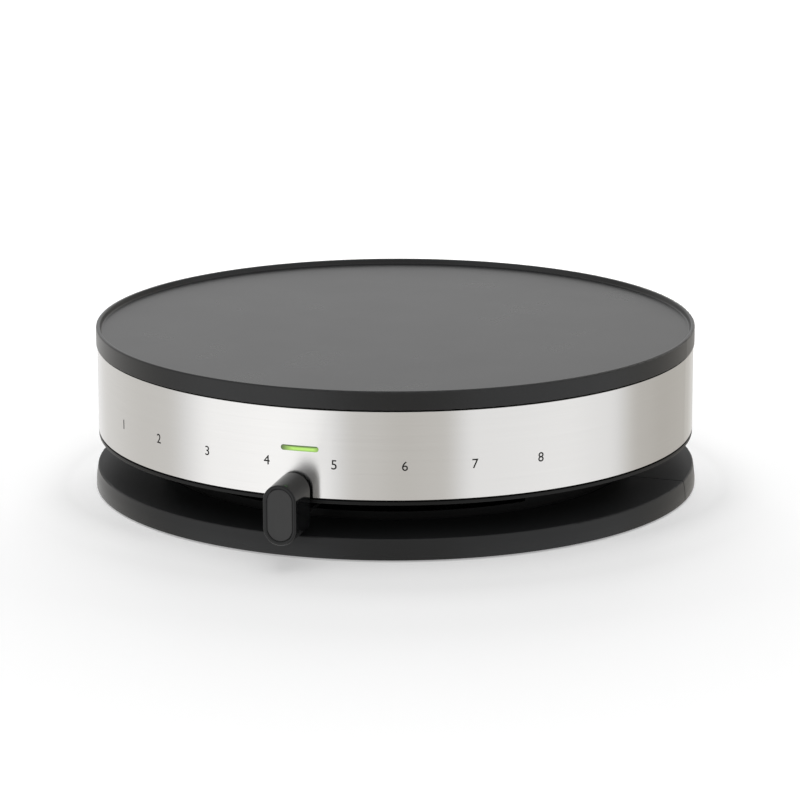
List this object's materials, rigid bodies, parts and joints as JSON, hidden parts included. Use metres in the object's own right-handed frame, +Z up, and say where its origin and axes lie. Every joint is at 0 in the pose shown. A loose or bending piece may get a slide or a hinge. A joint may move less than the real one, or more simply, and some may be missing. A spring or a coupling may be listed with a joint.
{
  "type": "electric crepe maker",
  "caption": "Round countertop crepe maker: flat coated plate, brushed steel band, temperature lever swinging over a numbered scale, and a half-round utensil drawer in the base.",
  "frame": {"origin": "on the central axis of the cooking plate, at the worktop plane under the foot ring", "axes": "+Z up; -Y towards the front, where the knob stands between the marks 4 and 5; +Y towards the mains inlet; +X to the right as seen from the front"},
  "size_m": [0.383, 0.4087, 0.104],
  "materials": {
    "plate_coating": "cast aluminium with a dark matt non-stick coating",
    "element_sheath": "steel tube, heat-tinted",
    "plated_steel": "zinc plated",
    "black_steel": "black",
    "reflector_sheet": "bright rolled sheet",
    "band_steel": "fine brushing along the band",
    "housing_plastic": "heat-resistant moulding, satin black",
    "base_plastic": "moulded, satin black",
    "knob_plastic": "moulded, satin dark grey",
    "knob_face": "moulded, satin dark grey",
    "lens_green": "clear green",
    "lamp_glass": "clear",
    "rubber_black": "matt",
    "ceramic_white": "unglazed",
    "brass": "turned",
    "block_plastic": "natural",
    "sleeve_glass_fibre": "woven sleeve",
    "lead_brown": "silicone",
    "lead_blue": "silicone",
    "lead_earth": "silicone, green and yellow",
    "lead_black": "silicone",
    "lead_white": "silicone",
    "runner_plastic": "low-friction moulding"
  },
  "bodies": {
    "appliance": {"cooking_plate": "plate_coating", "heating_elements": "element_sheath", "terminal_bars": "plated_steel", "element_clamps": "plated_steel", "clamp_screws": "plated_steel", "plate_posts": "plated_steel", "plate_screws": "plated_steel", "heat_reflector": "reflector_sheet", "trim_band": "band_steel", "lower_housing": "housing_plastic", "indicator_lens": "lens_green", "lamp_holder": "block_plastic", "indicator_lamp": "lamp_glass", "pedestal_ring": "housing_plastic", "pedestal_screws": "plated_steel", "cord_gland": "rubber_black", "base_shell": "base_plastic", "bottom_plate": "base_plastic", "foot_ring": "rubber_black", "base_screws": "plated_steel", "drawer_runners": "runner_plastic", "thermostat_body": "ceramic_white", "thermostat_tabs": "brass", "thermostat_bracket": "plated_steel", "bracket_screws": "plated_steel", "sensor_pad": "brass", "spindle_bush": "brass", "terminal_block": "block_plastic", "block_screws": "plated_steel", "cord_clamp": "block_plastic", "cord_clamp_screws": "plated_steel", "thermal_fuse": "plated_steel", "fuse_sleeve": "sleeve_glass_fibre", "fuse_clip": "plated_steel", "fuse_screw": "plated_steel", "earth_tag": "brass", "earth_screw": "brass", "live_leads": "lead_brown", "switched_lead": "lead_black", "neutral_lead": "lead_blue", "earth_lead": "lead_earth", "lamp_leads": "lead_white"},
    "temperature_lever": {"thermostat_spindle": "plated_steel", "spindle_clip": "black_steel", "lever_hub": "housing_plastic", "lever_arm": "black_steel", "lever_screws": "black_steel", "knob": "knob_plastic", "knob_panel": "knob_face"},
    "utensil_drawer": {"drawer_front": "base_plastic", "drawer_tray": "base_plastic", "drawer_screws": "plated_steel"}
  },
  "joints": [
    {"name": "lever_turn", "type": "hinge", "parent": "appliance", "child": "temperature_lever", "pos_m": [0, 0, 0.0277], "axis": [0, 0, 1], "range_deg": [-43.8, 45.6]},
    {"name": "drawer_slide", "type": "slide", "parent": "appliance", "child": "utensil_drawer", "axis": [0, -1, 0], "range_m": [0, 0.12]}
  ]
}
